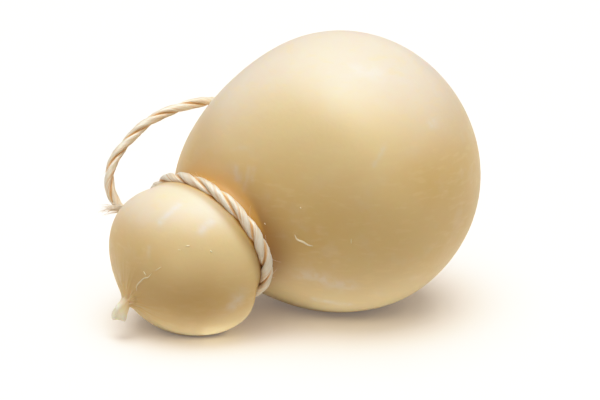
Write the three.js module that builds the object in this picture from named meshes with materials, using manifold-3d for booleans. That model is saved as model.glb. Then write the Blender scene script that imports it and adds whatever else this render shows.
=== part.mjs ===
// A small caciocavallo: a round stretched-curd cheese with a tied-off head, the twine round its neck
// and the twine loop that it is hung by. Millimetres, +Z up. It lies on its side on z = 0 with its
// head towards -X, and the loop leans on the shoulder behind the neck, towards +Y.
import * as THREE from "three";
import { mergeVertices } from "three/addons/utils/BufferGeometryUtils.js";
import Module from "manifold-3d";

const wasm = await Module();
wasm.setup();

// Cheese: lengths run along its axis from the head's centre, which is 0, towards the body
const BODY_RADIUS = 59;
const BODY_END_LENGTH = 57.5;
const SHOULDER_LENGTH = 65;
const SHOULDER_FULLNESS = 1.94;
const BODY_STATION = 76.3;
const HEAD_RADIUS = 32.4;
const HEAD_FRONT_LENGTH = 26.4;
const HEAD_BACK_LENGTH = 25;
const NECK_RADIUS = 29.7;
const NECK_BLEND = 6;
const NECK_STATION = 12.1;

// The neck's plane is skewed: per millimetre across and up, how far it leans along the axis
const NECK_SKEW_ACROSS = 0.34;
const NECK_SKEW_UP = -0.02;
const HEAD_SKEW_SHARE = 0.5;
const SKEW_RUN_OUT = 10;

// Under the neck the twine bites deeper, and the head bulges beside it on the near side
const NECK_LIFT = 9;
const NECK_REACH_HEAD = 6;
const NECK_REACH_BODY = 20;
const HEAD_BULGE = 1.1;
const HEAD_BULGE_REACH = 14;
const HEAD_BULGE_ANGLE = THREE.MathUtils.degToRad(-130);

// The tip, where the curd was drawn out and pinched off
const TIP_WAIST = 2.3;
const TIP_FLARE = 3.6;
const TIP_LENGTH = 6.8;
const TIP_PULL = 2.2;
const TIP_SPREAD = 4;
const TIP_DROP = 2;
const TIP_DROOP = 0.6;
const TIP_LOBES = 3;
const TIP_LOBE_DEPTH = 0.28;
const TIP_LOBE_TURN = 0.5;
const TIP_RAGGEDNESS = 1.2;
const TIP_RAGGED_TURN = 1;
const TIP_ROUNDED_SHARE = 1 / 3;
const PLEATS = 9;
const PLEAT_DEPTH = 0.45;
const PLEAT_REACH = 5;

// Slow unevenness of the hand-shaped skin
const LUMP_HEIGHT = 0.6;
const LUMP_LENGTH = 95;
const LUMP_SLOW_SHARE = 0.6;
const LUMP_SLOW_TURN = 0.7;
const LUMP_QUICK_TURN = -1.1;

// How it lies: the axis leans so that head and body both press a small flat on the surface
const AXIS_TILT = THREE.MathUtils.degToRad(21.9);
const BODY_X = 21.9;
const REST_SINK = 0.8;
const REST_SOFTNESS = 0.3;

// Twine round the neck: one strand that goes round twice, twisted with itself
const NECK_TWINE_RADIUS = 2.45;
const NECK_TWINE_RING = 31.65;
const NECK_TWINE_STRAND = 1.2;
const NECK_TWINE_HALF_TWISTS = 15;
const NECK_TWINE_GAP = 0.62;

// Hanging loop and its knot behind the neck
const LOOP_DIAMETER = 3.9;
const LOOP_GAP = 0.35;
const KNOT_CENTRE = [-49.9, 37.9, 37.3];
const KNOT_RADIUS = 4;
const KNOT_STRAND = 1.75;
const KNOT_CORE = [5, 3.4, 5];
const TAIL_ROUTE = [
  [-50.3, 38, 37.5],
  [-56.8, 36.5, 41.5],
  [-63.3, 33.8, 44.2],
  [-69.1, 32.2, 45.2],
  [-73.5, 31.4, 45.2],
];
const TAIL_DIAMETER = 3.6;
const FRAY_LENGTH = 5;
const FRAY_RADIUS = 1.1;
const FRAY_SPREAD = 0.45;
const FRAY_SUNK = 0.8;
const FRAYS = 4;

// The loop's route, from the knot up behind the shoulder, over to the left and back to the knot
const LOOP_ROUTE = [
  [-41.8, 42.5, 37.3],
  [-33.8, 47, 37.7],
  [-23.3, 51.8, 39.6],
  [-12.8, 56.2, 43.6],
  [-3.8, 59.5, 50],
  [1.7, 60.6, 58.4],
  [2.7, 59.5, 67],
  [-1.8, 55.6, 75.6],
  [-9.5, 51.4, 80.3],
  [-17.3, 48.4, 82.6],
  [-24.9, 47.2, 82.5],
  [-31.7, 46.8, 81.5],
  [-38.1, 46.8, 79.9],
  [-43.7, 46.7, 77.7],
  [-48.3, 46.5, 75.2],
  [-52.3, 46.1, 72.2],
  [-57.4, 45.4, 67.8],
  [-61.9, 44.5, 62.9],
  [-64.6, 43.1, 57.3],
  [-65.3, 41.4, 51.5],
  [-63.7, 39.6, 46.1],
  [-60.7, 38.5, 41.9],
  [-56.7, 38.2, 39.1],
];

// Facets
const TIP_ROWS = 5;
const FRONT_ROWS = 15;
const BACK_ROWS = 4;
const GROOVE_ROWS = 6;
const SHOULDER_ROWS = 18;
const SHOULDER_BUNCHING = 1.25;
const END_ROWS = 13;
const CHEESE_SEGMENTS = 64;
const NECK_STRAND_STEPS = 168;
const TWINE_SIDES = 8;
const LOOP_STEPS = 40;
const TAIL_STEPS = 6;
const KNOT_STEPS = 48;
const KNOT_SIDES = 6;
const CORE_SEGMENTS = 12;
const WELD = 1e-3;

function smoothstep(t) {
  return THREE.MathUtils.smoothstep(t, 0, 1);
}

// The larger of two radii, with a rounded fillet where they meet
function blendedMax(a, b, width) {
  const overlap = Math.max(width - Math.abs(a - b), 0) / width;
  return Math.max(a, b) + (overlap * overlap * width) / 4;
}

function headRadius(along) {
  const reach = along < 0 ? HEAD_FRONT_LENGTH : HEAD_BACK_LENGTH;
  return HEAD_RADIUS * Math.sqrt(Math.max(1 - (along / reach) ** 2, 0));
}

function bodyRadius(along) {
  const offset = along - BODY_STATION;
  if (offset > 0) {
    return BODY_RADIUS * Math.sqrt(Math.max(1 - (offset / BODY_END_LENGTH) ** 2, 0));
  }
  const share = Math.max(1 - (-offset / SHOULDER_LENGTH) ** SHOULDER_FULLNESS, 0);
  return BODY_RADIUS * share ** (1 / SHOULDER_FULLNESS);
}

// Radius from the head's widest place to the body's, with the twine's groove pressed into the neck
function neckRadius(along) {
  const fromTwine = along - NECK_STATION;
  const head = Math.max(headRadius(along), NECK_RADIUS);
  const body = blendedMax(bodyRadius(along), NECK_RADIUS, NECK_BLEND);
  const skin = fromTwine < 0 ? head : body;
  const groove = NECK_TWINE_RADIUS + NECK_TWINE_GAP;
  if (Math.abs(fromTwine) >= groove) {
    return skin;
  }
  return Math.min(skin, NECK_TWINE_RING - Math.sqrt(groove ** 2 - fromTwine ** 2));
}

// The head's front face at a radius, drawn out towards the tip like a tent
function frontAlong(radius) {
  const dome = HEAD_FRONT_LENGTH * Math.sqrt(1 - (radius / HEAD_RADIUS) ** 2);
  return -dome - TIP_PULL * Math.exp((TIP_WAIST - radius) / TIP_SPREAD);
}

const WAIST_ALONG = frontAlong(TIP_WAIST);

function steps(count, at) {
  return Array.from({ length: count }, (_, i) => at(i / count));
}

// Half outline of the cheese, as radius and length, from the tip to the body's end
function cheeseProfile() {
  const waistAngle = Math.asin(TIP_WAIST / HEAD_RADIUS);
  const tip = steps(TIP_ROWS, (t) => {
    const flare = THREE.MathUtils.lerp(TIP_FLARE, TIP_WAIST, smoothstep(t));
    const rounding = Math.sqrt(1 - (1 - Math.min(t / TIP_ROUNDED_SHARE, 1)) ** 2);
    return new THREE.Vector2(flare * rounding, WAIST_ALONG - TIP_LENGTH * (1 - t));
  });
  const front = steps(FRONT_ROWS, (t) => {
    const radius = HEAD_RADIUS * Math.sin(THREE.MathUtils.lerp(waistAngle, Math.PI / 2, t));
    return new THREE.Vector2(radius, frontAlong(radius));
  });
  const grooveStart = NECK_STATION - NECK_TWINE_RADIUS;
  const grooveEnd = NECK_STATION + NECK_TWINE_RADIUS;
  const back = steps(BACK_ROWS, (t) => grooveStart * t);
  const groove = steps(GROOVE_ROWS, (t) => THREE.MathUtils.lerp(grooveStart, grooveEnd, t));
  const shoulder = steps(SHOULDER_ROWS, (t) => {
    return THREE.MathUtils.lerp(grooveEnd, BODY_STATION, t ** SHOULDER_BUNCHING);
  });
  const neck = [...back, ...groove, ...shoulder].map((along) => {
    return new THREE.Vector2(neckRadius(along), along);
  });
  const end = steps(END_ROWS, (t) => {
    const angle = (t * Math.PI) / 2;
    return new THREE.Vector2(
      BODY_RADIUS * Math.cos(angle),
      BODY_STATION + BODY_END_LENGTH * Math.sin(angle),
    );
  });
  const last = new THREE.Vector2(0, BODY_STATION + BODY_END_LENGTH);
  return [...tip, ...front, ...neck, ...end, last];
}

// How much of the neck's skew a section takes: half at the tip, all at the neck, none past the body
function skewShare(along) {
  if (along < NECK_STATION) {
    const t = (along + HEAD_FRONT_LENGTH) / (HEAD_FRONT_LENGTH + NECK_STATION);
    return THREE.MathUtils.lerp(HEAD_SKEW_SHARE, 1, smoothstep(t));
  }
  return 1 - smoothstep((along - NECK_STATION) / (BODY_STATION + SKEW_RUN_OUT - NECK_STATION));
}

function skewed(along, across, up) {
  return along - skewShare(along) * (NECK_SKEW_ACROSS * across + NECK_SKEW_UP * up);
}

// From lengths along the axis, across it and up from it to the place where the cheese lies
function placed(along, across, up) {
  const fromBody = along - BODY_STATION;
  const cos = Math.cos(AXIS_TILT);
  const sin = Math.sin(AXIS_TILT);
  const x = BODY_X + fromBody * cos - up * sin;
  const z = BODY_RADIUS - REST_SINK + fromBody * sin + up * cos;
  return new THREE.Vector3(x, across, z);
}

// A height pressed flat where it would go below the surface
function pressed(height) {
  if (height > REST_SOFTNESS) {
    return height;
  }
  return Math.max(height + REST_SOFTNESS, 0) ** 2 / (4 * REST_SOFTNESS);
}

function lump(along, angle) {
  const wave = (Math.PI * along) / LUMP_LENGTH;
  const slow = Math.sin(2 * angle + LUMP_SLOW_TURN + wave);
  const quick = Math.sin(3 * angle + LUMP_QUICK_TURN - 2 * wave);
  return LUMP_HEIGHT * THREE.MathUtils.lerp(quick, slow, LUMP_SLOW_SHARE);
}

// How much a section belongs to the tied neck, from 1 under the twine to 0 a little way off
function neckShare(along) {
  const fromTwine = along - NECK_STATION;
  if (fromTwine < 0) {
    return Math.exp(-((fromTwine / NECK_REACH_HEAD) ** 4));
  }
  return Math.exp(-((fromTwine / NECK_REACH_BODY) ** 3));
}

// How far the section at the neck is raised, most on its underside
function neckLift(along, angle) {
  return NECK_LIFT * neckShare(along) * ((1 - Math.sin(angle)) / 2) ** 2;
}

function headBulge(along, angle) {
  const facing = Math.max(Math.cos(angle - HEAD_BULGE_ANGLE), 0) ** 4;
  return HEAD_BULGE * facing * Math.exp(-((along / HEAD_BULGE_REACH) ** 2));
}

// A point of the cheese's skin: the plain outline, then pleats, lobes, lumps, skew and droop
function skinPoint(along, radius, angle) {
  const front = along < 0 ? 1 : 0;
  const pastWaist = THREE.MathUtils.clamp((WAIST_ALONG - along) / TIP_LENGTH, 0, 1);
  const pleatShare = front * Math.exp(-Math.max(radius - TIP_WAIST, 0) / PLEAT_REACH);
  const pleat = PLEAT_DEPTH * pleatShare * (1 - pastWaist) * Math.cos(PLEATS * angle);
  const ragged = TIP_RAGGEDNESS * pastWaist * Math.cos(2 * angle + TIP_RAGGED_TURN);
  const lobed = 1 + TIP_LOBE_DEPTH * pastWaist * Math.cos(TIP_LOBES * angle + TIP_LOBE_TURN);
  const uneven = lump(along, angle) * (radius / BODY_RADIUS) + headBulge(along, angle);
  const grown = radius * lobed + uneven * (1 - neckShare(along));
  const across = grown * Math.cos(angle);
  const up = grown * Math.sin(angle);
  const drop = front * TIP_DROP * smoothstep(1 - radius / HEAD_RADIUS);
  const droop = TIP_DROOP * Math.max(-along - HEAD_FRONT_LENGTH, 0);
  const height = up + neckLift(along, angle) - drop - droop;
  const place = placed(skewed(along - pleat - ragged, across, up), across, height);
  place.z = pressed(place.z);
  return place;
}

// A geometry reduced to shared positions, without the slivers that a lathe leaves on its axis
function welded(geometry) {
  const bare = geometry.clone();
  bare.deleteAttribute("normal");
  bare.deleteAttribute("uv");
  const merged = mergeVertices(bare, WELD);
  const faces = [];
  const index = merged.index.array;
  for (let i = 0; i < index.length; i += 3) {
    const [a, b, c] = index.slice(i, i + 3);
    if (a !== b && b !== c && c !== a) {
      faces.push(a, b, c);
    }
  }
  merged.setIndex(faces);
  return merged;
}

function solidOf(geometry) {
  const merged = welded(geometry.index ? geometry : mergeVertices(geometry));
  return new wasm.Manifold(new wasm.Mesh({
    numProp: 3,
    vertProperties: new Float32Array(merged.attributes.position.array),
    triVerts: new Uint32Array(merged.index.array),
  }));
}

function geometryOf(solid) {
  const mesh = solid.getMesh();
  const geometry = new THREE.BufferGeometry();
  geometry.setAttribute("position", new THREE.BufferAttribute(mesh.vertProperties, 3));
  geometry.setIndex(new THREE.BufferAttribute(mesh.triVerts, 1));
  return geometry;
}

function cheeseGeometry() {
  const geometry = welded(new THREE.LatheGeometry(cheeseProfile(), CHEESE_SEGMENTS));
  const position = geometry.attributes.position;
  for (let i = 0; i < position.count; i += 1) {
    const across = -position.getX(i);
    const along = position.getY(i);
    const up = position.getZ(i);
    const place = skinPoint(along, Math.hypot(across, up), Math.atan2(up, across));
    position.setXYZ(i, place.x, place.y, place.z);
  }
  geometry.computeVertexNormals();
  return geometry;
}

// The neck twine's strand: twice round the skewed neck while it winds about the twine's own middle
class NeckStrand extends THREE.Curve {
  getPoint(t, target = new THREE.Vector3()) {
    const angle = 4 * Math.PI * t;
    const winding = NECK_TWINE_HALF_TWISTS * 2 * Math.PI * t;
    const offset = NECK_TWINE_RADIUS - NECK_TWINE_STRAND;
    const radius = NECK_TWINE_RING + offset * Math.cos(winding);
    const across = radius * Math.cos(angle);
    const up = radius * Math.sin(angle);
    const along = NECK_STATION - offset * Math.sin(winding);
    const lean = NECK_SKEW_ACROSS * across + NECK_SKEW_UP * up;
    return target.copy(placed(along - lean, across, up + neckLift(NECK_STATION, angle)));
  }
}

function neckTwineGeometry() {
  const strand = new NeckStrand();
  return new THREE.TubeGeometry(strand, NECK_STRAND_STEPS, NECK_TWINE_STRAND, TWINE_SIDES, true);
}

function vectors(list) {
  return list.map((point) => new THREE.Vector3(...point));
}

function circleShape(radius) {
  const corners = steps(TWINE_SIDES, (t) => {
    const angle = 2 * Math.PI * t;
    return new THREE.Vector2(radius * Math.cos(angle), radius * Math.sin(angle));
  });
  return new THREE.Shape(corners);
}

function twineGeometry(route, diameter, stepCount) {
  return new THREE.ExtrudeGeometry(circleShape(diameter / 2), {
    steps: stepCount,
    extrudePath: new THREE.CatmullRomCurve3(vectors(route), false, "centripetal"),
  });
}

// A thin cone of loose fibre at the tail's end, leaning out at an angle round it
function frayGeometry(end, heading, angle) {
  const spread = new THREE.Vector3(0, Math.cos(angle), Math.sin(angle)).multiplyScalar(FRAY_SPREAD);
  const direction = heading.clone().add(spread).normalize();
  const fray = new THREE.ConeGeometry(FRAY_RADIUS, FRAY_LENGTH, KNOT_SIDES);
  fray.applyQuaternion(new THREE.Quaternion().setFromUnitVectors(new THREE.Vector3(0, 1, 0), direction));
  fray.translate(...end.clone().addScaledVector(direction, FRAY_LENGTH / 2 - FRAY_SUNK));
  return fray;
}

// An overhand knot round a core, with a frayed tail, cut clear of the loop's two ends
function knotGeometry() {
  const strand = new THREE.TorusKnotGeometry(KNOT_RADIUS, KNOT_STRAND, KNOT_STEPS, KNOT_SIDES, 2, 3);
  strand.rotateX(Math.PI / 2);
  strand.translate(...KNOT_CENTRE);
  const core = new THREE.SphereGeometry(1, CORE_SEGMENTS, CORE_SEGMENTS / 2);
  core.scale(...KNOT_CORE);
  core.translate(...KNOT_CENTRE);
  let knot = solidOf(strand).add(solidOf(core));
  knot = knot.add(solidOf(twineGeometry(TAIL_ROUTE, TAIL_DIAMETER, TAIL_STEPS)));
  const [beforeTip, tailTip] = vectors(TAIL_ROUTE.slice(-2));
  const heading = tailTip.clone().sub(beforeTip).normalize();
  for (let i = 0; i < FRAYS; i += 1) {
    knot = knot.add(solidOf(frayGeometry(tailTip, heading, (2 * Math.PI * i) / FRAYS)));
  }
  const clearance = twineGeometry(LOOP_ROUTE, LOOP_DIAMETER + 2 * LOOP_GAP, LOOP_STEPS);
  knot = knot.subtract(solidOf(clearance));
  const endRoom = LOOP_DIAMETER / 2 + 2 * LOOP_GAP;
  for (const end of [LOOP_ROUTE.at(0), LOOP_ROUTE.at(-1)]) {
    const room = new THREE.SphereGeometry(endRoom, CORE_SEGMENTS, CORE_SEGMENTS / 2);
    room.translate(...end);
    knot = knot.subtract(solidOf(room));
  }
  return geometryOf(knot);
}

function named(name, geometry, color, roughness) {
  const material = new THREE.MeshStandardMaterial({ color, roughness, metalness: 0 });
  const mesh = new THREE.Mesh(geometry, material);
  mesh.name = name;
  return mesh;
}

const CHEESE_COLOUR = 0xe6cd98;
const CHEESE_ROUGHNESS = 0.42;
const TWINE_COLOUR = 0xe4d3b4;
const TWINE_ROUGHNESS = 0.8;

const loopGeometry = twineGeometry(LOOP_ROUTE, LOOP_DIAMETER, LOOP_STEPS);
const caciocavallo = new THREE.Group();
caciocavallo.add(
  named("cheese", cheeseGeometry(), CHEESE_COLOUR, CHEESE_ROUGHNESS),
  named("neck_twine", neckTwineGeometry(), TWINE_COLOUR, TWINE_ROUGHNESS),
  named("loop_twine", loopGeometry, TWINE_COLOUR, TWINE_ROUGHNESS),
  named("neck_knot", knotGeometry(), TWINE_COLOUR, TWINE_ROUGHNESS),
);

export default caciocavallo;
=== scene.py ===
# The looks of a small caciocavallo: its waxy skin, the twine round its neck, the hanging loop and its knot.
# Sizes are millimetres and are turned into metres where a mesh is made.
import math

import bpy
import numpy as np
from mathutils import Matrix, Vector


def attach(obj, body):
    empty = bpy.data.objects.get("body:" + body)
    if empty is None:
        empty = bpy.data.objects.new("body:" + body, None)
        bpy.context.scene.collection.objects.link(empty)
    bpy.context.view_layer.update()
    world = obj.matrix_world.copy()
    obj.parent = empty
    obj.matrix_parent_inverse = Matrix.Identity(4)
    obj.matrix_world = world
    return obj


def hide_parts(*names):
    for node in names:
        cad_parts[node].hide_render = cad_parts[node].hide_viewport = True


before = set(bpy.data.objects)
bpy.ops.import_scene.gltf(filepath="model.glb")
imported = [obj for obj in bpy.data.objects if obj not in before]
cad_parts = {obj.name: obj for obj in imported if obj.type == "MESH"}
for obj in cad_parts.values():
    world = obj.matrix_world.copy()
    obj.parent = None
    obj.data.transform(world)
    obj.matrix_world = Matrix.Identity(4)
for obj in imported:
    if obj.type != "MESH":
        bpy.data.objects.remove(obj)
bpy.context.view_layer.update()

MM = 0.001
SEED = 7
rng = np.random.default_rng(SEED)

# Camera
CAMERA_PLACE = (-274.3, -573.6, 231.2)
CAMERA_AZIMUTH = math.radians(-25.8)
CAMERA_ELEVATION = math.radians(16)
CAMERA_LENS = 96
CAMERA_SENSOR = 36
CAMERA_CLIP = (0.01, 100)

# Cheese: lengths run along its axis from the head's centre, which is 0, towards the body
BODY_RADIUS = 59
BODY_END_LENGTH = 57.5
SHOULDER_LENGTH = 65
SHOULDER_FULLNESS = 1.94
BODY_STATION = 76.3
HEAD_RADIUS = 32.4
HEAD_FRONT_LENGTH = 26.4
HEAD_BACK_LENGTH = 25
NECK_RADIUS = 29.7
NECK_BLEND = 6
NECK_STATION = 12.1

# The neck's plane is skewed: per millimetre across and up, how far it leans along the axis
NECK_SKEW_ACROSS = 0.34
NECK_SKEW_UP = -0.02
HEAD_SKEW_SHARE = 0.5
SKEW_RUN_OUT = 10

# Under the neck the twine bites deeper, and the head bulges beside it on the near side
NECK_LIFT = 9
NECK_REACH_HEAD = 6
NECK_REACH_BODY = 20
HEAD_LIP = 1.5
HEAD_LIP_FROM_TWINE = 3
HEAD_LIP_REACH = 2.2
HEAD_BULGE = 1.1
HEAD_BULGE_REACH = 14
HEAD_BULGE_ANGLE = math.radians(-130)

# The tip, where the curd was drawn out and pinched off
TIP_WAIST = 2.3
TIP_FLARE = 3.6
TIP_LENGTH = 6.8
TIP_PULL = 2.2
TIP_SPREAD = 4
TIP_DROP = 2
TIP_DROOP = 0.6
TIP_LOBES = 3
TIP_LOBE_DEPTH = 0.28
TIP_LOBE_TURN = 0.5
TIP_RAGGEDNESS = 1.2
TIP_RAGGED_TURN = 1
TIP_ROUNDED_SHARE = 1 / 3
PLEATS = 9
PLEAT_DEPTH = 0.45
PLEAT_REACH = 5
WRINKLES = (23, 37)
WRINKLE_DEPTH = 0.07
WRINKLE_REACH = 9

# Slow unevenness of the hand-shaped skin
LUMP_HEIGHT = 0.6
LUMP_LENGTH = 95
LUMP_SLOW_SHARE = 0.6
LUMP_SLOW_TURN = 0.7
LUMP_QUICK_TURN = -1.1

# How it lies: the axis leans so that head and body both press a small flat on the surface
AXIS_TILT = math.radians(21.9)
BODY_X = 21.9
REST_SINK = 0.8
REST_SOFTNESS = 0.3

# Twine round the neck and its groove
NECK_TWINE_RADIUS = 2.45
NECK_TWINE_RING = 31.65
NECK_TWINE_HALF_TWISTS = 15
NECK_TWINE_UNEVEN_TWIST = 0.35
NECK_TWINE_UNEVEN_RADIUS = 0.05
NECK_TWINE_FIBRE_TURNS = -4
NECK_TWINE_HAIRS = 140
NECK_TWINE_GAP = -1.8
HAIR_LENGTH = 3.5

# Hanging loop, knot and tail
LOOP_DIAMETER = 3.9
LOOP_PLUMPNESS = 1.07
LOOP_TWIST_LENGTH = 28
LOOP_HAIRS = 110
KNOT_CENTRE = (-49.9, 37.9, 37.3)
KNOT_RADIUS = 4
KNOT_TWISTS = 3
KNOT_STEPS = 181
KNOT_HAIRS = 12
TAIL_DIAMETER = 3.6
TAIL_BOUND_SHARE = 0.6
FRAY_FIBRES = 60
FRAY_SPREAD = 0.9
FRAY_BEND = 0.7
FRAY_FIBRE_RADIUS = 0.16
FRAY_CORE = 0.75
FRAY_TAPER = 0.7
TAIL_ROUTE = [
    (-50.3, 38, 37.5),
    (-56.8, 36.5, 41.5),
    (-63.3, 33.8, 44.2),
    (-69.1, 32.2, 45.2),
    (-73.5, 31.4, 45.2),
]
LOOP_ROUTE = [
    (-41.8, 42.5, 37.3),
    (-33.8, 47, 37.7),
    (-23.3, 51.8, 39.6),
    (-12.8, 56.2, 43.6),
    (-3.8, 59.5, 50),
    (1.7, 60.6, 58.4),
    (2.7, 59.5, 67),
    (-1.8, 55.6, 75.6),
    (-9.5, 51.4, 80.3),
    (-17.3, 48.4, 82.6),
    (-24.9, 47.2, 82.5),
    (-31.7, 46.8, 81.5),
    (-38.1, 46.8, 79.9),
    (-43.7, 46.7, 77.7),
    (-48.3, 46.5, 75.2),
    (-52.3, 46.1, 72.2),
    (-57.4, 45.4, 67.8),
    (-61.9, 44.5, 62.9),
    (-64.6, 43.1, 57.3),
    (-65.3, 41.4, 51.5),
    (-63.7, 39.6, 46.1),
    (-60.7, 38.5, 41.9),
    (-56.7, 38.2, 39.1),
]

# Mesh fineness
TIP_ROWS = 22
FRONT_ROWS = 92
BACK_ROWS = 24
GROOVE_ROWS = 20
SHOULDER_ROWS = 96
SHOULDER_BUNCHING = 1.25
END_ROWS = 76
SKIN_SEGMENTS = 288
TWINE_STEP = 0.6
ROUTE_STEPS = 40
STRAND_SIDES = 60
FIBRE_SIDES = 4

# Marks on the skin: threads of dried curd, each a line of points and its half width
VEIN = [
    (-72.1, -7.5, 22.6),
    (-72.1, -8.6, 25.1),
    (-71.5, -10.4, 27.1),
    (-70.6, -13, 29.4),
    (-69.7, -14.7, 30.2),
    (-68.8, -16.4, 32.2),
]
CURL = [
    (-16, -34.9, 46.2),
    (-15, -35.2, 44.2),
    (-13.1, -36.5, 43.4),
    (-11.3, -37.6, 42.1),
    (-9.9, -38.7, 41.8),
]
THREADS = [
    (VEIN, 0.26),
    ([(-70.8, -12.9, 32.2), (-70.2, -14, 30.9)], 0.2),
    ([(-67.8, -18, 33.6), (-66.3, -19.9, 35.4)], 0.16),
    (CURL, 0.42),
    ([(1.1, -49.5, 45.8), (1.4, -48.9, 43.7)], 0.16),
    ([(-58, -25.1, 44.1), (-56.6, -25.9, 44.3)], 0.24),
    ([(-49.9, -29.6, 42.6), (-49.2, -29.9, 41.8)], 0.3),
    ([(-60.9, -23.9, 42.7), (-59.9, -24.4, 42.6)], 0.2),
    ([(-26.2, -28.4, 50.2), (-25.8, -28.6, 49.6)], 0.22),
    ([(-15.5, -38.4, 57.9), (-15.1, -38.6, 57.3)], 0.25),
]
THREAD_STEP = 0.3
THREAD_SIDES = 8
THREAD_ROUNDING = 0.6
THREAD_RAISE = 0.5

# Smears of pale bloom, each a line of points, its half width and its strength
SMEARS = [
    ([(-64.1, -14.3, 51.7), (-61.2, -14.6, 54.4), (-56.4, -14.7, 57.4)], 1.5, 0.7),
    ([(-51.6, -25.5, 49.6), (-49.6, -25.3, 51), (-47.2, -24.9, 52.4)], 1.7, 0.6),
    ([(-69, -14.6, 41.9), (-69.5, -14.8, 38.8)], 0.9, 0.4),
    ([(-40.2, -29.9, 18.8), (-38.3, -31.4, 23.1)], 3, 0.5),
    ([(-31.9, -11, 76), (-29.8, -14.5, 77.6), (-28.6, -16.7, 77.8)], 0.9, 0.5),
    ([(-31.8, -15, 70.2), (-31.9, -17.1, 65.8)], 1.8, 0.55),
    ([(-28.5, -20.2, 70.5), (-29.5, -20.5, 65.6), (-31.3, -20, 61.2)], 1.1, 0.55),
    ([(-27.2, -22.1, 70.6), (-28.3, -22.1, 65.8)], 1.1, 0.45),
    ([(-10.1, -29.8, 25.9), (-7.4, -32.5, 26.7), (-3.9, -34.4, 25.5)], 4, 0.5),
    ([(-1.5, -34.9, 23.7), (5.2, -39.3, 22.7)], 4, 0.45),
    ([(-1.6, -22.5, 12.1), (3.7, -26.5, 11.7), (10.2, -29.9, 10.9)], 1.8, 0.6),
    ([(12.9, -30.6, 107.9), (19.3, -33.4, 106.7)], 4, 0.4),
    ([(36.4, -48.6, 87.6), (38, -48.2, 87.6)], 2, 0.55),
    ([(13.3, -53.4, 82.8), (7.9, -54.7, 75.9)], 0.9, 0.35),
]

# Broad patches of painted shade and of painted light, as line, half width and strength
SHADE_PATCHES = [
    ([(-69.8, -11, 21), (-57, -26.5, 24)], 14, 0.65),
    ([(-34.5, 10, 78), (-37.5, 6, 70)], 12, 0.35),
]
PAINTED_LIGHT_PATCHES = [
    ([(-60, -25, 40.6), (-51.8, -28.8, 43), (-41, -32, 39.9)], 12, 0.75),
    ([(-17, -29, 88), (-8, -42, 83), (8, -52, 83)], 19, 0.75),
    ([(-58, -8, 60), (-50, -10, 62)], 12, 0.3),
]

# A short crease beside the tip, darkened with painted shade, and painted shade and glow on both sides of
# the neck's twine
TIP_CREASE = [(-72.5, -5.5, 21.2), (-72.3, -5.7, 18.6), (-72.3, -4.4, 15.5)]
TIP_CREASE_WIDTH = 0.8
TIP_CREASE_DEPTH = 0.2
TIP_PALE_START = 2
GLOW_REACH_HEAD = 4.6
GLOW_REACH_BODY = 10.5
GLOW_SHARPNESS = 3.5
GLOW_UNDERSIDE = 0.78


def make_camera():
    data = bpy.data.cameras.new("camera")
    data.lens = CAMERA_LENS
    data.sensor_width = CAMERA_SENSOR
    data.clip_start, data.clip_end = CAMERA_CLIP
    camera = bpy.data.objects.new("camera", data)
    level = math.cos(CAMERA_ELEVATION)
    forward = Vector((
        -math.sin(CAMERA_AZIMUTH) * level,
        math.cos(CAMERA_AZIMUTH) * level,
        -math.sin(CAMERA_ELEVATION),
    ))
    camera.location = Vector(CAMERA_PLACE) * MM
    camera.rotation_mode = "QUATERNION"
    camera.rotation_quaternion = forward.to_track_quat("-Z", "Y")
    bpy.context.scene.collection.objects.link(camera)
    bpy.context.scene.camera = camera


def smoothstep(t):
    t = np.clip(t, 0, 1)
    return t * t * (3 - 2 * t)


def lerp(a, b, t):
    return a + (b - a) * t


def unit(vectors):
    return vectors / np.linalg.norm(vectors, axis=-1, keepdims=True)


def mesh_object(name, points, faces, **attributes):
    """A smooth mesh from points in millimetres, with a value per point for each attribute."""
    mesh = bpy.data.meshes.new(name)
    mesh.from_pydata((np.asarray(points) * MM).tolist(), [], [list(map(int, face)) for face in faces])
    mesh.polygons.foreach_set("use_smooth", np.ones(len(mesh.polygons), bool))
    for key, values in attributes.items():
        mesh.attributes.new(key, "FLOAT", "POINT").data.foreach_set("value", np.asarray(values, np.float32))
    mesh.update()
    piece = bpy.data.objects.new(name, mesh)
    bpy.context.scene.collection.objects.link(piece)
    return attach(piece, "root")


# Twine: two plump strands that fill a round, each with its fibres as ridges along it

def smooth_route(route, step):
    """Points every step along a centripetal Catmull-Rom curve through a route."""
    points = np.array(route, float)
    padded = np.vstack([2 * points[0] - points[1], points, 2 * points[-1] - points[-2]])
    fine = []
    t = shares(ROUTE_STEPS)[:, None]
    for p0, p1, p2, p3 in zip(padded, padded[1:], padded[2:], padded[3:]):
        d0, d1, d2 = (math.sqrt(np.linalg.norm(b - a)) for a, b in ((p0, p1), (p1, p2), (p2, p3)))
        leave = d1 * ((p1 - p0) / d0 - (p2 - p0) / (d0 + d1) + (p2 - p1) / d1)
        arrive = d1 * ((p2 - p1) / d1 - (p3 - p1) / (d1 + d2) + (p3 - p2) / d2)
        fine.append(
            p1 + leave * t
            + (-3 * p1 + 3 * p2 - 2 * leave - arrive) * t ** 2
            + (2 * p1 - 2 * p2 + leave + arrive) * t ** 3
        )
    fine = np.vstack([*fine, points[-1:]])
    return evenly_spaced(fine, step)


def evenly_spaced(points, step):
    run = np.concatenate([[0], np.cumsum(np.linalg.norm(np.diff(points, axis=0), axis=1))])
    count = max(int(round(run[-1] / step)), 2)
    at = np.linspace(0, run[-1], count + 1)
    return np.stack([np.interp(at, run, points[:, i]) for i in range(3)], axis=1)


def tangents_of(points, closed=False):
    if closed:
        return unit(np.roll(points, -1, axis=-2) - np.roll(points, 1, axis=-2))
    return unit(np.gradient(points, axis=-2))


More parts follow.
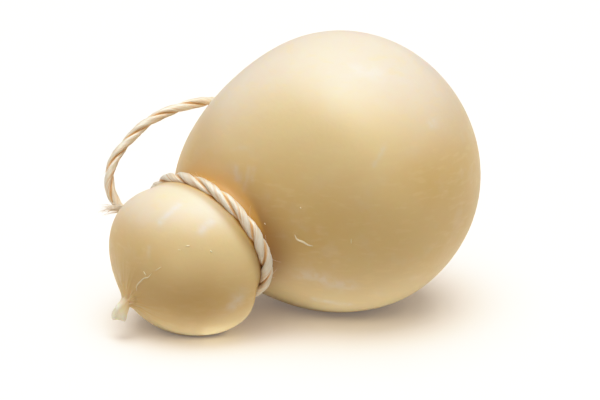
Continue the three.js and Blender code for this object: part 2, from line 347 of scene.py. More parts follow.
def carried_normals(points):
    """Normals along an open line that turn with it and don't spin round it."""
    tangents = tangents_of(points)
    helper = np.eye(3)[np.argmin(np.abs(tangents[0]))]
    normals = np.empty_like(points)
    current = helper
    for i, tangent in enumerate(tangents):
        current = current - tangent * (current @ tangent)
        current = current / np.linalg.norm(current)
        normals[i] = current
    return normals, np.cross(tangents, normals)


def shares(count):
    return np.arange(count) / count


def grid_faces(rows, columns, first, rows_closed):
    """Quads of a tube of rows by columns whose columns close on themselves."""
    i = np.arange(rows if rows_closed else rows - 1)[:, None]
    j = np.arange(columns)[None, :]
    below = (i + 1) % rows
    right = (j + 1) % columns
    corners = [(i, j), (i, right), (below, right), (below, j)]
    quads = np.stack([row * columns + column for row, column in corners], -1)
    return quads.reshape(-1, 4) + first


class MeshParts:
    """Gathers tubes into one mesh with a tone and a depth value for each point; the depth places painted
    gap shade.
    """

    def __init__(self):
        self.points = []
        self.faces = []
        self.tone = []
        self.depth = []
        self.count = 0

    def add_grid(self, grid, closed, tone, depth):
        """A tube whose rings of points are the rows of a grid, its open ends capped."""
        rows, columns = grid.shape[:2]
        self.points.append(grid.reshape(-1, 3))
        self.faces.extend(grid_faces(rows, columns, self.count, closed).tolist())
        if not closed:
            last = self.count + (rows - 1) * columns
            self.faces.append([self.count + i for i in reversed(range(columns))])
            self.faces.append([last + i for i in range(columns)])
        self.tone.append(np.broadcast_to(tone, (rows, columns)).ravel())
        self.depth.append(np.broadcast_to(depth, (rows, columns)).ravel())
        self.count += rows * columns

    def add_fibre(self, line, radii, tone, sides=FIBRE_SIDES):
        """A thin round fibre along a line, with a radius for each of its points."""
        normals, binormals = carried_normals(line)
        angle = 2 * np.pi * shares(sides)
        spokes = np.cos(angle)[:, None] * normals[:, None] + np.sin(angle)[:, None] * binormals[:, None]
        self.add_grid(line[:, None] + np.reshape(radii, (-1, 1, 1)) * spokes, False, tone, 0.0)

    def piece(self, name):
        return mesh_object(
            name,
            np.vstack(self.points),
            self.faces,
            tone=np.concatenate(self.tone),
            depth=np.concatenate(self.depth),
        )


# A strand's section, as shares of the twine's radius, and the fibres round it
STRAND_PLACE = 0.48
STRAND_HALF_OUT = 0.52
STRAND_HALF_SIDE = 0.76
STRAND_FULLNESS = 2.2
FIBRES = 20
FIBRE_RELIEF = 0.15
FIBRE_LIFT = 0.05
FIBRE_WANDER = 0.5
FIBRE_PALENESS = 0.25
FIBRE_TONE_WAVE = 0.3
RIDGE_ROUNDING = 0.7
RIDGE_MIDDLE = 0.6
GAP_FROM = 0.1
GAP_RUN = 0.8
TIED_FROM = -0.05
TIED_RUN = 0.5
FIBRE_TURNS_PER_TWIST = -0.5
WAVE_PERIODS = (3, 14)


def waves(count, length, terms=3):
    """Smooth random waves along a length, a row for each of count, that close on themselves."""
    t = np.linspace(0, 2 * np.pi, length, endpoint=False)
    total = np.zeros((count, length))
    for _ in range(terms):
        periods = rng.integers(*WAVE_PERIODS, (count, 1))
        total += np.sin(periods * t + rng.uniform(0, 2 * np.pi, (count, 1)))
    return total / terms


def add_strand(parts, middle, out, side, radius, fibre_turns, closed, skin_side=None):
    """One strand of a twine along its middle: out points away from there, side along the twine's skin.

    Where the twine is tied on something, skin_side points to that, and the fibres on that side get the
    painted gap shade too.
    """
    rows = len(middle)
    radius = np.broadcast_to(radius, rows)[:, None, None]
    angle = 2 * np.pi * shares(STRAND_SIDES)
    across = np.cos(angle)
    along_skin = np.sin(angle)
    squared_off = np.abs(across) ** STRAND_FULLNESS + np.abs(along_skin) ** STRAND_FULLNESS
    plump = squared_off ** (-1 / STRAND_FULLNESS)
    slip = fibre_turns * np.linspace(0, 1, rows, endpoint=not closed)
    wander = FIBRE_WANDER * waves(1, rows)[0]
    place = FIBRES * (angle[None] / (2 * np.pi) + slip[:, None]) + wander[:, None]
    fibre = np.floor(place).astype(int) % FIBRES
    row = np.arange(rows)[:, None]
    ridge = np.abs(np.sin(np.pi * place)) ** RIDGE_ROUNDING - RIDGE_MIDDLE
    lift = waves(FIBRES, rows)[fibre, row]
    size = plump * (1 + FIBRE_RELIEF * ridge + FIBRE_LIFT * lift)
    outward = STRAND_PLACE + STRAND_HALF_OUT * across * size
    sideways = STRAND_HALF_SIDE * along_skin * size
    section = outward[..., None] * out[:, None] + sideways[..., None] * side[:, None]
    grid = middle[:, None] + radius * section
    tone = (rng.uniform(0, 1, FIBRES) ** FIBRE_PALENESS)[fibre]
    tone = tone + FIBRE_TONE_WAVE * waves(FIBRES, rows)[fibre, row]
    # Painted shade and glow on the strand's inner side, in the gaps between strands
    depth = smoothstep((GAP_FROM - across) / GAP_RUN)
    if skin_side is not None:
        towards = ((grid - middle[:, None]) / radius * skin_side[:, None]).sum(-1)
        depth = np.maximum(depth, smoothstep((towards - TIED_FROM) / TIED_RUN))
    parts.add_grid(grid, closed, np.clip(tone, 0, 1), depth)


HAIR_STEPS = 7
HAIR_RADIUS = 0.06
HAIR_TAPER = 0.6
HAIR_TONE = 0.8
HAIR_ROOT = 0.9
HAIR_BEND = 0.25
HAIR_REACHES = (0.5, 1.3)
HAIR_RISES = (0.15, 0.5)


def add_hairs(parts, centres, radius, count, length):
    """Loose fibres that stand off a twine."""
    tangents = tangents_of(centres)
    t = np.linspace(0, 1, HAIR_STEPS)[:, None]
    for _ in range(count):
        at = rng.integers(1, len(centres) - 1)
        away = unit(np.cross(tangents[at], rng.normal(size=3)))
        heading = tangents[at] * rng.choice((-1, 1))
        bend = rng.normal(0, HAIR_BEND, 3)
        reach = length * rng.uniform(*HAIR_REACHES)
        rise = rng.uniform(*HAIR_RISES)
        root = centres[at] + away * radius * HAIR_ROOT
        line = root + reach * (heading * t + away * rise * t ** 2 + bend * t ** 2)
        parts.add_fibre(line, HAIR_RADIUS * (1 - HAIR_TAPER * t), HAIR_TONE)


def add_twine(parts, centres, radius, twists):
    """Two strands twisted round an open line."""
    normals, binormals = carried_normals(centres)
    turn = 2 * np.pi * twists * np.linspace(0, 1, len(centres))
    for start in (0, np.pi):
        angle = (turn + start)[:, None]
        out = np.cos(angle) * normals + np.sin(angle) * binormals
        side = -np.sin(angle) * normals + np.cos(angle) * binormals
        add_strand(parts, centres, out, side, radius, FIBRE_TURNS_PER_TWIST * twists, False)


def make_loop():
    centres = smooth_route(LOOP_ROUTE, TWINE_STEP)
    length = np.linalg.norm(np.diff(centres, axis=0), axis=1).sum()
    parts = MeshParts()
    radius = LOOP_PLUMPNESS * LOOP_DIAMETER / 2
    add_twine(parts, centres, radius, length / LOOP_TWIST_LENGTH)
    loop = parts.piece("hanging_loop")
    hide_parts("loop_twine")
    loose = MeshParts()
    add_hairs(loose, centres, LOOP_DIAMETER / 2, LOOP_HAIRS, HAIR_LENGTH)
    fuzz = loose.piece("loop_fuzz")
    return loop, fuzz, centres, length


def add_fray(parts, line, radius):
    """Fibres that spread out of the last stretch of a twine and end unevenly."""
    normals, binormals = carried_normals(line)
    for _ in range(FRAY_FIBRES):
        first = rng.integers(0, len(line) // 3)
        last = rng.integers(len(line) * 2 // 3, len(line))
        stretch = slice(first, last + 1)
        t = np.linspace(0, 1, last + 1 - first)[:, None]
        turn = rng.uniform(0, 2 * np.pi)
        start = radius * math.sqrt(rng.uniform(0, 1))
        spread = start * (FRAY_CORE + FRAY_SPREAD * rng.uniform(-0.5, 1) * t ** 2)
        away = math.cos(turn) * normals[stretch] + math.sin(turn) * binormals[stretch]
        bend = rng.normal(0, FRAY_BEND, 3)
        thin = FRAY_FIBRE_RADIUS * (1 - FRAY_TAPER * t)
        parts.add_fibre(line[stretch] + spread * away + bend * t ** 2, thin, rng.uniform(0.5, 1))


def make_knot():
    """An overhand knot, drawn as a trefoil, with its frayed tail."""
    parts = MeshParts()
    t = np.linspace(0, 2 * np.pi, KNOT_STEPS)
    around = KNOT_RADIUS * (2 + np.cos(3 * t)) / 2
    lobes = np.stack([around * np.cos(2 * t), -KNOT_RADIUS * np.sin(3 * t) / 2, around * np.sin(2 * t)], 1)
    centres = evenly_spaced(np.array(KNOT_CENTRE) + lobes, TWINE_STEP)
    add_twine(parts, centres, LOOP_DIAMETER / 2, KNOT_TWISTS)
    add_hairs(parts, centres, LOOP_DIAMETER / 2, KNOT_HAIRS, HAIR_LENGTH)
    tail = smooth_route(TAIL_ROUTE, TWINE_STEP)
    bound = int(TAIL_BOUND_SHARE * len(tail))
    add_twine(parts, tail[:bound], TAIL_DIAMETER / 2, 1)
    add_fray(parts, tail[bound // 2 :], TAIL_DIAMETER / 2)
    knot = parts.piece("tied_knot")
    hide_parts("neck_knot")
    return knot


# Cheese skin, as arrays of lengths along the axis, radii and angles

def blended_max(a, b, width):
    overlap = np.maximum(width - np.abs(a - b), 0) / width
    return np.maximum(a, b) + overlap ** 2 * width / 4


def head_radius(along):
    reach = np.where(along < 0, HEAD_FRONT_LENGTH, HEAD_BACK_LENGTH)
    return HEAD_RADIUS * np.sqrt(np.maximum(1 - (along / reach) ** 2, 0))


def shoulder_radius(along):
    share = np.maximum(1 - ((BODY_STATION - along) / SHOULDER_LENGTH) ** SHOULDER_FULLNESS, 0)
    return BODY_RADIUS * share ** (1 / SHOULDER_FULLNESS)


def neck_radius(along):
    """Radius from the head's widest place to the body's, with the twine's groove pressed into the neck."""
    from_twine = along - NECK_STATION
    lip = HEAD_LIP * np.exp(-(((from_twine + HEAD_LIP_FROM_TWINE) / HEAD_LIP_REACH) ** 2))
    head = np.maximum(head_radius(along), NECK_RADIUS) + lip
    body = blended_max(shoulder_radius(along), NECK_RADIUS, NECK_BLEND)
    skin = np.where(from_twine < 0, head, body)
    groove = NECK_TWINE_RADIUS + NECK_TWINE_GAP
    pressed_in = NECK_TWINE_RING - np.sqrt(np.maximum(groove ** 2 - from_twine ** 2, 0))
    return np.where(np.abs(from_twine) < groove, np.minimum(skin, pressed_in), skin)


def front_along(radius):
    """The head's front face at a radius, drawn out towards the tip like a tent."""
    dome = HEAD_FRONT_LENGTH * np.sqrt(1 - (radius / HEAD_RADIUS) ** 2)
    return -dome - TIP_PULL * np.exp((TIP_WAIST - radius) / TIP_SPREAD)


WAIST_ALONG = front_along(TIP_WAIST)


def cheese_profile():
    """Half outline of the cheese, as radius and length, from the tip to the body's end."""
    t = shares(TIP_ROWS)
    flare = lerp(TIP_FLARE, TIP_WAIST, smoothstep(t))
    rounding = np.sqrt(1 - (1 - np.minimum(t / TIP_ROUNDED_SHARE, 1)) ** 2)
    tip = np.stack([flare * rounding, WAIST_ALONG - TIP_LENGTH * (1 - t)], 1)
    waist_angle = math.asin(TIP_WAIST / HEAD_RADIUS)
    radius = HEAD_RADIUS * np.sin(lerp(waist_angle, np.pi / 2, shares(FRONT_ROWS)))
    front = np.stack([radius, front_along(radius)], 1)
    groove_start = NECK_STATION - NECK_TWINE_RADIUS
    groove_end = NECK_STATION + NECK_TWINE_RADIUS
    along = np.concatenate([
        groove_start * shares(BACK_ROWS),
        lerp(groove_start, groove_end, shares(GROOVE_ROWS)),
        lerp(groove_end, BODY_STATION, shares(SHOULDER_ROWS) ** SHOULDER_BUNCHING),
    ])
    neck = np.stack([neck_radius(along), along], 1)
    angle = shares(END_ROWS) * np.pi / 2
    end = np.stack([BODY_RADIUS * np.cos(angle), BODY_STATION + BODY_END_LENGTH * np.sin(angle)], 1)
    last = [[0, BODY_STATION + BODY_END_LENGTH]]
    return np.vstack([tip, front, neck, end, last])


def skew_share(along):
    towards_neck = smoothstep((along + HEAD_FRONT_LENGTH) / (HEAD_FRONT_LENGTH + NECK_STATION))
    past_neck = smoothstep((along - NECK_STATION) / (BODY_STATION + SKEW_RUN_OUT - NECK_STATION))
    return np.where(along < NECK_STATION, lerp(HEAD_SKEW_SHARE, 1, towards_neck), 1 - past_neck)


def placed(along, across, up):
    """From lengths along the axis, across it and up from it to the place where the cheese lies."""
    from_body = along - BODY_STATION
    x = BODY_X + from_body * math.cos(AXIS_TILT) - up * math.sin(AXIS_TILT)
    z = BODY_RADIUS - REST_SINK + from_body * math.sin(AXIS_TILT) + up * math.cos(AXIS_TILT)
    return np.stack([x, np.broadcast_to(across, x.shape), z], -1)


def pressed(height):
    """A height pressed flat where it would go below the surface."""
    soft = np.maximum(height + REST_SOFTNESS, 0) ** 2 / (4 * REST_SOFTNESS)
    return np.where(height > REST_SOFTNESS, height, soft)


def lump(along, angle):
    wave = np.pi * along / LUMP_LENGTH
    slow = np.sin(2 * angle + LUMP_SLOW_TURN + wave)
    quick = np.sin(3 * angle + LUMP_QUICK_TURN - 2 * wave)
    return LUMP_HEIGHT * lerp(quick, slow, LUMP_SLOW_SHARE)


def neck_share(along):
    from_twine = along - NECK_STATION
    head = np.exp(-((from_twine / NECK_REACH_HEAD) ** 4))
    body = np.exp(-((np.maximum(from_twine, 0) / NECK_REACH_BODY) ** 3))
    return np.where(from_twine < 0, head, body)


def neck_lift(along, angle):
    return NECK_LIFT * neck_share(along) * ((1 - np.sin(angle)) / 2) ** 2


def head_bulge(along, angle):
    facing = np.maximum(np.cos(angle - HEAD_BULGE_ANGLE), 0) ** 4
    return HEAD_BULGE * facing * np.exp(-((along / HEAD_BULGE_REACH) ** 2))


def skin_points(along, radius, angle):
    """The cheese's skin: the plain outline, then pleats, lobes, lumps, skew and droop."""
    front = along < 0
    past_waist = np.clip((WAIST_ALONG - along) / TIP_LENGTH, 0, 1)
    pleat_share = front * np.exp(-np.maximum(radius - TIP_WAIST, 0) / PLEAT_REACH)
    pleat = PLEAT_DEPTH * pleat_share * (1 - past_waist) * np.cos(PLEATS * angle)
    wrinkle_share = front * np.exp(-np.maximum(radius - TIP_WAIST, 0) / WRINKLE_REACH) * (1 - past_waist)
    wrinkle = WRINKLE_DEPTH * wrinkle_share * sum(np.cos(count * angle + count) for count in WRINKLES)
    ragged = TIP_RAGGEDNESS * past_waist * np.cos(2 * angle + TIP_RAGGED_TURN)
    lobed = 1 + TIP_LOBE_DEPTH * past_waist * np.cos(TIP_LOBES * angle + TIP_LOBE_TURN)
    uneven = lump(along, angle) * radius / BODY_RADIUS + head_bulge(along, angle)
    grown = radius * lobed + uneven * (1 - neck_share(along))
    across = grown * np.cos(angle)
    up = grown * np.sin(angle)
    drop = front * TIP_DROP * smoothstep(1 - radius / HEAD_RADIUS)
    droop = TIP_DROOP * np.maximum(-along - HEAD_FRONT_LENGTH, 0)
    height = up + neck_lift(along, angle) - drop - droop
    lean = skew_share(along) * (NECK_SKEW_ACROSS * across + NECK_SKEW_UP * up)
    return placed(along - pleat - wrinkle - ragged - lean, across, height)


def distance_to_line(points, line):
    """Least distance from each point to a line of straight pieces."""
    least = np.full(len(points), np.inf)
    line = np.array(line, float)
    for a, b in zip(line, line[1:]):
        t = np.clip((points - a) @ (b - a) / ((b - a) @ (b - a)), 0, 1)
        least = np.minimum(least, np.linalg.norm(points - a - t[:, None] * (b - a), axis=1))
    return least


def strongest_mark(points, marks):
    """How strongly the strongest of some soft marks shows at each point."""
    shown = np.zeros(len(points))
    for line, width, strength in marks:
        shown = np.maximum(shown, strength * np.exp(-((distance_to_line(points, line) / width) ** 2)))
    return shown


def skin_normals(grid):
    """Outward normals of the skin's grid of points, whose rows end at the two poles."""
    along = np.gradient(grid, axis=0)
    around = np.roll(grid, -1, axis=1) - np.roll(grid, 1, axis=1)
    normals = np.cross(around, along)
    normals[0] = normals[1]
    normals[-1] = normals[-2]
    return normals / np.maximum(np.linalg.norm(normals, axis=-1, keepdims=True), 1e-9)


def make_cheese():
    profile = cheese_profile()
    rows = len(profile)
    angle = np.broadcast_to(2 * np.pi * shares(SKIN_SEGMENTS), (rows, SKIN_SEGMENTS))
    radius = np.broadcast_to(profile[:, :1], angle.shape)
    along = np.broadcast_to(profile[:, 1:], angle.shape)
    grid = skin_points(along, radius, angle)
    normals = skin_normals(grid).reshape(-1, 3)
    points = grid.reshape(-1, 3)
    # The tip crease dents the skin and carries painted shade
    crease = np.exp(-((distance_to_line(points, TIP_CREASE) / TIP_CREASE_WIDTH) ** 2))
    smear = strongest_mark(points, SMEARS)
    # Masks of painted shade and of painted light
    painted_shade = strongest_mark(points, SHADE_PATCHES)
    light = strongest_mark(points, PAINTED_LIGHT_PATCHES)
    points = points - normals * (TIP_CREASE_DEPTH * crease)[:, None]
    points[:, 2] = pressed(points[:, 2])
    faces = grid_faces(rows, SKIN_SEGMENTS, 0, False)[:, ::-1]
    # Painted shade and glow in the crease beside the neck's twine, weaker underneath
    from_twine = along - NECK_STATION
    reach = np.where(from_twine < 0, GLOW_REACH_HEAD, GLOW_REACH_BODY)
    sided = lerp(GLOW_UNDERSIDE, 1, (1 + np.sin(angle)) / 2)
    glow = (sided * np.exp(-np.abs(from_twine / reach) ** GLOW_SHARPNESS)).ravel()
    upper = normals[:, 2]
    tip = np.clip((WAIST_ALONG + TIP_PALE_START - along) / TIP_LENGTH, 0, 1).ravel()
    marks = dict(smear=smear, painted_shade=painted_shade, light=light, crease=crease, glow=glow, tip=tip, upper=upper)
    cheese = mesh_object("cheese_body", points, faces, **marks)
    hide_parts("cheese")
    return cheese, make_threads(points, normals)


def make_threads(skin_at, normals):
    """Fine threads half sunk in the skin, thin at both ends."""
    parts = MeshParts()
    for route, radius in THREADS:
        line = smooth_route(route, THREAD_STEP)
        nearest = [np.argmin(np.linalg.norm(skin_at - point, axis=1)) for point in line]
        out = normals[nearest]
        line = line + out * ((skin_at[nearest] - line) * out).sum(1, keepdims=True)
        taper = np.sin(np.pi * (np.arange(len(line)) + 0.5) / len(line)) ** THREAD_ROUNDING
        line = line + out * (THREAD_RAISE * radius * taper)[:, None]
        parts.add_fibre(line, radius * taper, 1.0, THREAD_SIDES)
    threads = parts.piece("skin_threads")
    return threads


def make_neck_twine():
    """One strand that goes twice round the neck, twisted with itself."""
    count = 2 * int(round(2 * np.pi * NECK_TWINE_RING / TWINE_STEP))
    t = shares(count)
    angle = 4 * np.pi * t

    def ring(radius):
        across = radius * np.cos(angle)
        up = radius * np.sin(angle)
        lean = NECK_SKEW_ACROSS * across + NECK_SKEW_UP * up
        return placed(NECK_STATION - lean, across, up + neck_lift(NECK_STATION, angle))

    middle = ring(NECK_TWINE_RING)
    tangents = tangents_of(middle, True)
    outward = ring(NECK_TWINE_RING + 1) - middle
    outward = unit(outward - (outward * tangents).sum(1, keepdims=True) * tangents)
    axial = np.cross(tangents, outward)
    twist_wave, radius_wave = (np.tile(wave, 2) for wave in waves(2, count // 2))
    winding = NECK_TWINE_HALF_TWISTS * 2 * np.pi * t + NECK_TWINE_UNEVEN_TWIST * twist_wave
    winding = winding[:, None]
    radius = NECK_TWINE_RADIUS * (1 + NECK_TWINE_UNEVEN_RADIUS * radius_wave)
    out = np.cos(winding) * outward + np.sin(winding) * axial
    side = -np.sin(winding) * outward + np.cos(winding) * axial
    parts = MeshParts()
    add_strand(parts, middle, out, side, radius, NECK_TWINE_FIBRE_TURNS, True, -outward)
    add_hairs(parts, middle[: count // 2], NECK_TWINE_RADIUS, NECK_TWINE_HAIRS, HAIR_LENGTH)
    twine = parts.piece("neck_rope")
    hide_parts("neck_twine")
    return twine


# Materials

def new_material(name):
    material = bpy.data.materials.new(name)
    material.use_nodes = True
    tree = material.node_tree
    return material, tree, tree.nodes["Principled BSDF"]


def add_node(tree, kind, **values):
    node = tree.nodes.new(kind)
    for key, value in values.items():
        setattr(node, key, value)
    return node


def noise(tree, scale, detail, stretch=(1, 1, 1)):
    """A noise texture fixed to the object, scale in waves per metre."""
    place = add_node(tree, "ShaderNodeTexCoord")
    mapping = add_node(tree, "ShaderNodeMapping")
    mapping.inputs["Scale"].default_value = stretch
    texture = add_node(tree, "ShaderNodeTexNoise")
    texture.inputs["Scale"].default_value = scale
    texture.inputs["Detail"].default_value = detail
    tree.links.new(place.outputs["Object"], mapping.inputs["Vector"])
    tree.links.new(mapping.outputs["Vector"], texture.inputs["Vector"])
    return texture.outputs["Fac"]


def ranged(tree, value, low, high, to_low=0.0, to_high=1.0):
    node = add_node(tree, "ShaderNodeMapRange", interpolation_type="SMOOTHSTEP")
    for key, number in (("From Min", low), ("From Max", high), ("To Min", to_low), ("To Max", to_high)):
        node.inputs[key].default_value = number
    tree.links.new(value, node.inputs["Value"])
    return node.outputs["Result"]


def attribute(tree, name):
    return add_node(tree, "ShaderNodeAttribute", attribute_name=name).outputs["Fac"]


def times(tree, a, b):
    node = add_node(tree, "ShaderNodeMath", operation="MULTIPLY")
    for socket, value in zip(node.inputs, (a, b)):
        if isinstance(value, (int, float)):
            socket.default_value = value
        else:
            tree.links.new(value, socket)
    return node.outputs["Value"]


def mixed(tree, share, under, over):
    """The colour over laid on the colour under by a share, each a colour or a socket."""
    node = add_node(tree, "ShaderNodeMix", data_type="RGBA")
    tree.links.new(share, node.inputs["Factor"])
    for socket, value in ((node.inputs[6], under), (node.inputs[7], over)):
        if isinstance(value, tuple):
            socket.default_value = (*value, 1)
        else:
            tree.links.new(value, socket)
    return node.outputs[2]


def bump(tree, height, distance, strength, under=None):
    node = add_node(tree, "ShaderNodeBump")
    node.inputs["Strength"].default_value = strength
    node.inputs["Distance"].default_value = distance
    tree.links.new(height, node.inputs["Height"])
    if under is not None:
        tree.links.new(under, node.inputs["Normal"])
    return node.outputs["Normal"]


# Colours of the skin
STRAW = (0.84, 0.60, 0.235)
CREAM = (0.88, 0.66, 0.30)
# Painted shade, laid on by the shade patches
SHADE_STRAW = (0.66, 0.43, 0.15)
LIGHT_CREAM = (0.97, 0.77, 0.42)
# Painted shade and glow of the twine's crease, and its copy lit from above
SHADED_CREASE_ORANGE = (0.38, 0.15, 0.008)
LIT_CREASE_ORANGE = (0.62, 0.31, 0.02)
PALE = (1.0, 0.90, 0.71)
THREAD_CREAM = (1.0, 0.90, 0.62)
# Pale bloom of the smears and mottle, also laid on the upward-facing skin as painted light
BLOOM_AND_TOP_LIGHT = (0.93, 0.855, 0.80)
# Painted light from the floor, laid on the downward-facing skin
UNDERSIDE_LIGHT = (0.86, 0.83, 0.66)
CREASE_SHADE_BROWN = (0.55, 0.33, 0.10)

# Noises of the skin, each its waves per metre and detail, and the values between which each one shows
CLOUD_NOISE = (22, 4)
CLOUD_RANGE = (0.35, 0.65)
MOTTLE_NOISE = (95, 6)
MOTTLE_RANGE = (0.5, 0.75)
STREAK_NOISE = (450, 4)
STREAK_STRETCH = (0.3, 0.3, 1)
STREAK_RANGE = (0.5, 0.72)
SMEAR_NOISE = (260, 4)
SMEAR_RANGE = (0.35, 0.6, 0.35, 1.0)
GLOSS_NOISE = (60, 5)
GLOSS_RANGE = (0.3, 0.7, 0.38, 0.46)

# How far up or down the skin faces where a colour starts and is full: painted light on top and underneath,
# and the lit side of the painted crease shade
TOP_LIGHT_FACING = (0.12, 0.8)
UNDERSIDE_LIGHT_FACING = (-0.3, -0.75)
LIT_CREASE_FACING = (0.16, 0.36)

# How much of each colour is laid on
TOP_LIGHT_SHARE = 0.65
UNDERSIDE_LIGHT_SHARE = 0.3
MOTTLE_SHARE = 0.14
STREAK_SHARE = 0.28
TIP_SHARE = 0.95
CREASE_SHADE_SHARE = 0.3


def cheese_material():
    material, tree, shader = new_material("cheese_skin")
    colour = mixed(tree, ranged(tree, noise(tree, *CLOUD_NOISE), *CLOUD_RANGE), STRAW, CREAM)
    facing_up = attribute(tree, "upper")
    # Painted light: skin that faces up is paled as if lit from above
    painted_top_light = times(tree, ranged(tree, facing_up, *TOP_LIGHT_FACING), TOP_LIGHT_SHARE)
    colour = mixed(tree, painted_top_light, colour, BLOOM_AND_TOP_LIGHT)
    # Painted light: skin that faces down is paled as if lit from the floor
    painted_underside_light = times(tree, ranged(tree, facing_up, *UNDERSIDE_LIGHT_FACING), UNDERSIDE_LIGHT_SHARE)
    colour = mixed(tree, painted_underside_light, colour, UNDERSIDE_LIGHT)
    mottle = times(tree, ranged(tree, noise(tree, *MOTTLE_NOISE), *MOTTLE_RANGE), MOTTLE_SHARE)
    colour = mixed(tree, mottle, colour, BLOOM_AND_TOP_LIGHT)
    streaks = ranged(tree, noise(tree, *STREAK_NOISE, STREAK_STRETCH), *STREAK_RANGE)
    colour = mixed(tree, times(tree, streaks, STREAK_SHARE), colour, LIGHT_CREAM)
    # Painted shade of the shade patches
    colour = mixed(tree, attribute(tree, "painted_shade"), colour, SHADE_STRAW)
    # Painted light of the light patches, lifting parts of head and body
    colour = mixed(tree, attribute(tree, "light"), colour, LIGHT_CREAM)
    broken = ranged(tree, noise(tree, *SMEAR_NOISE), *SMEAR_RANGE)
    colour = mixed(tree, times(tree, attribute(tree, "smear"), broken), colour, BLOOM_AND_TOP_LIGHT)
    # Painted shade and glow in the twine's crease, lighter where the skin faces up as if lit
    crease_shade_colour = mixed(tree, ranged(tree, facing_up, *LIT_CREASE_FACING), SHADED_CREASE_ORANGE, LIT_CREASE_ORANGE)
    colour = mixed(tree, attribute(tree, "glow"), colour, crease_shade_colour)
    colour = mixed(tree, times(tree, attribute(tree, "tip"), TIP_SHARE), colour, PALE)
    # Painted shade darkens the crease beside the tip
    colour = mixed(tree, times(tree, attribute(tree, "crease"), CREASE_SHADE_SHARE), colour, CREASE_SHADE_BROWN)
    tree.links.new(colour, shader.inputs["Base Color"])
    tree.links.new(ranged(tree, noise(tree, *GLOSS_NOISE), *GLOSS_RANGE), shader.inputs["Roughness"])
    shader.inputs["Specular IOR Level"].default_value = 0.45
    shader.inputs["Subsurface Weight"].default_value = 0.5
    shader.inputs["Subsurface Radius"].default_value = (1.0, 0.55, 0.25)
    shader.inputs["Subsurface Scale"].default_value = 0.008
    dents = bump(tree, noise(tree, 45, 3), 0.002, 0.25)
    grain = bump(tree, noise(tree, 700, 5), 0.0002, 0.3, dents)
    tree.links.new(grain, shader.inputs["Normal"])
    return material


def thread_material():
    material, tree, shader = new_material("dried_curd")
    shader.inputs["Base Color"].default_value = (*THREAD_CREAM, 1)
    shader.inputs["Roughness"].default_value = 0.3
    shader.inputs["Specular IOR Level"].default_value = 1
    return material


# Twine: colours, its noise, and how much of the pale and of the painted gap shade is laid on
FIBRE_PALE = (1.0, 0.90, 0.73)
FIBRE_TAN = (0.80, 0.48, 0.19)
GAP_SHADE_ORANGE = (0.90, 0.50, 0.12)
FLECK_NOISE = (180, 4)
FLECK_RANGE = (0.4, 0.7)
FLECK_SHARE = 0.4
GAP_SHADE_RANGE = (0.45, 1)
GAP_SHADE_SHARE = 0.8


def twine_material():
    material, tree, shader = new_material("twine")
    colour = mixed(tree, attribute(tree, "tone"), FIBRE_TAN, FIBRE_PALE)
    flecks = ranged(tree, noise(tree, *FLECK_NOISE), *FLECK_RANGE)
    colour = mixed(tree, times(tree, flecks, FLECK_SHARE), colour, FIBRE_PALE)
    # Painted shade and glow in the gaps between strands and where the twine lies on the cheese
    gap_shade = ranged(tree, attribute(tree, "depth"), *GAP_SHADE_RANGE)
    colour = mixed(tree, times(tree, gap_shade, GAP_SHADE_SHARE), colour, GAP_SHADE_ORANGE)
    tree.links.new(colour, shader.inputs["Base Color"])
    shader.inputs["Roughness"].default_value = 0.36
    shader.inputs["Specular IOR Level"].default_value = 1
    shader.inputs["Coat Weight"].default_value = 0.5
    shader.inputs["Coat Roughness"].default_value = 0.36
    shader.inputs["Subsurface Weight"].default_value = 0.2
    shader.inputs["Subsurface Radius"].default_value = (1.0, 0.7, 0.45)
    shader.inputs["Subsurface Scale"].default_value = 0.002
    shader.inputs["Sheen Weight"].default_value = 0.6
    tree.links.new(bump(tree, noise(tree, 2500, 3), 0.0001, 0.4), shader.inputs["Normal"])
    return material


# Floor and light: the floor that is seen, and a sheet under it whose front part is darker
FLOOR_SIZE = 40
FLOOR_ROUGHNESS = 0.9
BOUNCE_COLOUR = (0.78, 0.72, 0.63)
BOUNCE_FRONT_COLOUR = (0.38, 0.33, 0.25)
BOUNCE_FADE = (-35, -75)
BOUNCE_DEPTH = 0.05
FLOOR_COLOUR = (0.94, 0.91, 0.865)
FLOOR_GLOW = (0.15, 0.125, 0.11)

# Soft lights, each its strength and how many degrees it leans from straight up to the back and to the right
SOFT_LIGHTS = [
    (1.7, 0, 0),
    (0.1, 60, 0),
    (1.15, -25, 0),
    (0.15, 0, 45),
]
SOFT_ANGLE = math.radians(58)

# Light off the floor to the undersides: middle, length and width of each strip, and its power in watts
FLOOR_LIGHTS = [
    ((0, -32), 100, 34, 0.0032),
    ((-55, -18), 46, 16, 0.00075),
]
FLOOR_LIGHT_HEIGHT = 1.5
FLOOR_LIGHT_COLOUR = (0.94, 1, 0.95)
WORLD_COLOUR = (1, 1, 1)
WORLD_STRENGTH = 0.2
WHITE_LEVEL = 2
HIGHLIGHT_CURVE = [(0.4, 0.4), (0.75, 0.765), (0.88, 0.89), (0.98, 0.96), (1.08, 1.0)]


# Level directions as the camera sees them
TO_BACK = np.array((-math.sin(CAMERA_AZIMUTH), math.cos(CAMERA_AZIMUTH), 0))
TO_RIGHT = np.array((math.cos(CAMERA_AZIMUTH), math.sin(CAMERA_AZIMUTH), 0))
UP = np.array((0, 0, 1))


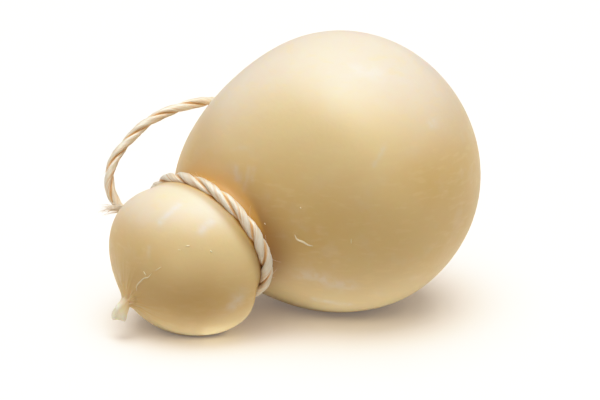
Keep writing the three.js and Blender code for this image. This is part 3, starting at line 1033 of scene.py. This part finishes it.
def make_lights():
    for strength, back, right in SOFT_LIGHTS:
        data = bpy.data.lights.new("softbox", "SUN")
        data.energy = strength
        data.angle = SOFT_ANGLE
        light = bpy.data.objects.new("softbox", data)
        lean = math.tan(math.radians(back)) * TO_BACK + math.tan(math.radians(right)) * TO_RIGHT
        light.rotation_mode = "QUATERNION"
        light.rotation_quaternion = Vector(UP + lean).to_track_quat("Z", "Y")
        bpy.context.scene.collection.objects.link(light)
    for (x, y), length, width, power in FLOOR_LIGHTS:
        data = bpy.data.lights.new("floor_light", "AREA")
        data.shape = "RECTANGLE"
        data.size = length * MM
        data.size_y = width * MM
        data.energy = power
        data.color = FLOOR_LIGHT_COLOUR
        light = bpy.data.objects.new("floor_light", data)
        light.location = (x * MM, y * MM, FLOOR_LIGHT_HEIGHT * MM)
        light.rotation_euler = (math.pi, 0, CAMERA_AZIMUTH)
        light.visible_camera = False
        bpy.context.scene.collection.objects.link(light)


def soften_highlights(view):
    """Rolls bright values off towards white, as a camera does, instead of cutting them."""
    view.view_transform = "Standard"
    view.use_curve_mapping = True
    mapping = view.curve_mapping
    mapping.white_level = (WHITE_LEVEL,) * 3
    curve = mapping.curves[3]
    curve.points[-1].location = (1, 1)
    for bright, shown in HIGHLIGHT_CURVE:
        curve.points.new(bright / WHITE_LEVEL, shown)
    mapping.update()


def distance_back(tree):
    """How far back from the origin a place on the floor lies, in metres."""
    place = add_node(tree, "ShaderNodeTexCoord")
    along = add_node(tree, "ShaderNodeVectorMath", operation="DOT_PRODUCT")
    along.inputs[1].default_value = TO_BACK
    tree.links.new(place.outputs["Object"], along.inputs[0])
    return along.outputs["Value"]


def floor_sheet(name, height):
    mesh = bpy.data.meshes.new(name)
    half = FLOOR_SIZE / 2
    corners = [(-half, -half, height), (half, -half, height), (half, half, height), (-half, half, height)]
    mesh.from_pydata(corners, [], [(0, 1, 2, 3)])
    sheet = bpy.data.objects.new(name, mesh)
    bpy.context.scene.collection.objects.link(sheet)
    material, tree, shader = new_material(name)
    shader.inputs["Roughness"].default_value = FLOOR_ROUGHNESS
    mesh.materials.append(material)
    return sheet, tree, shader


def make_floor():
    """The floor that is seen, and a sheet just under it that throws light back up to the cheese."""
    floor, _, shader = floor_sheet("floor", 0)
    shader.inputs["Base Color"].default_value = (*FLOOR_COLOUR, 1)
    shader.inputs["Emission Color"].default_value = (*FLOOR_GLOW, 1)
    shader.inputs["Emission Strength"].default_value = 1
    floor.visible_diffuse = False
    floor.visible_shadow = False
    bounce, tree, shader = floor_sheet("floor_bounce", -BOUNCE_DEPTH * MM)
    fade_from, fade_to = BOUNCE_FADE
    front = ranged(tree, distance_back(tree), fade_from * MM, fade_to * MM)
    tree.links.new(mixed(tree, front, BOUNCE_COLOUR, BOUNCE_FRONT_COLOUR), shader.inputs["Base Color"])
    bounce.visible_camera = False
    bounce.visible_glossy = False


def make_stage():
    make_floor()
    make_lights()
    world = bpy.data.worlds.new("studio")
    world.use_nodes = True
    background = world.node_tree.nodes["Background"]
    background.inputs["Color"].default_value = (*WORLD_COLOUR, 1)
    background.inputs["Strength"].default_value = WORLD_STRENGTH
    bpy.context.scene.world = world
    soften_highlights(bpy.context.scene.view_settings)


make_camera()
loop, loop_fuzz, loop_line, loop_length = make_loop()
knot = make_knot()
cheese, threads = make_cheese()
neck_twine = make_neck_twine()
skin = cheese_material()
twine = twine_material()
cheese.data.materials.append(skin)
threads.data.materials.append(thread_material())
for piece in (loop, loop_fuzz, knot, neck_twine):
    piece.data.materials.append(twine)
make_stage()
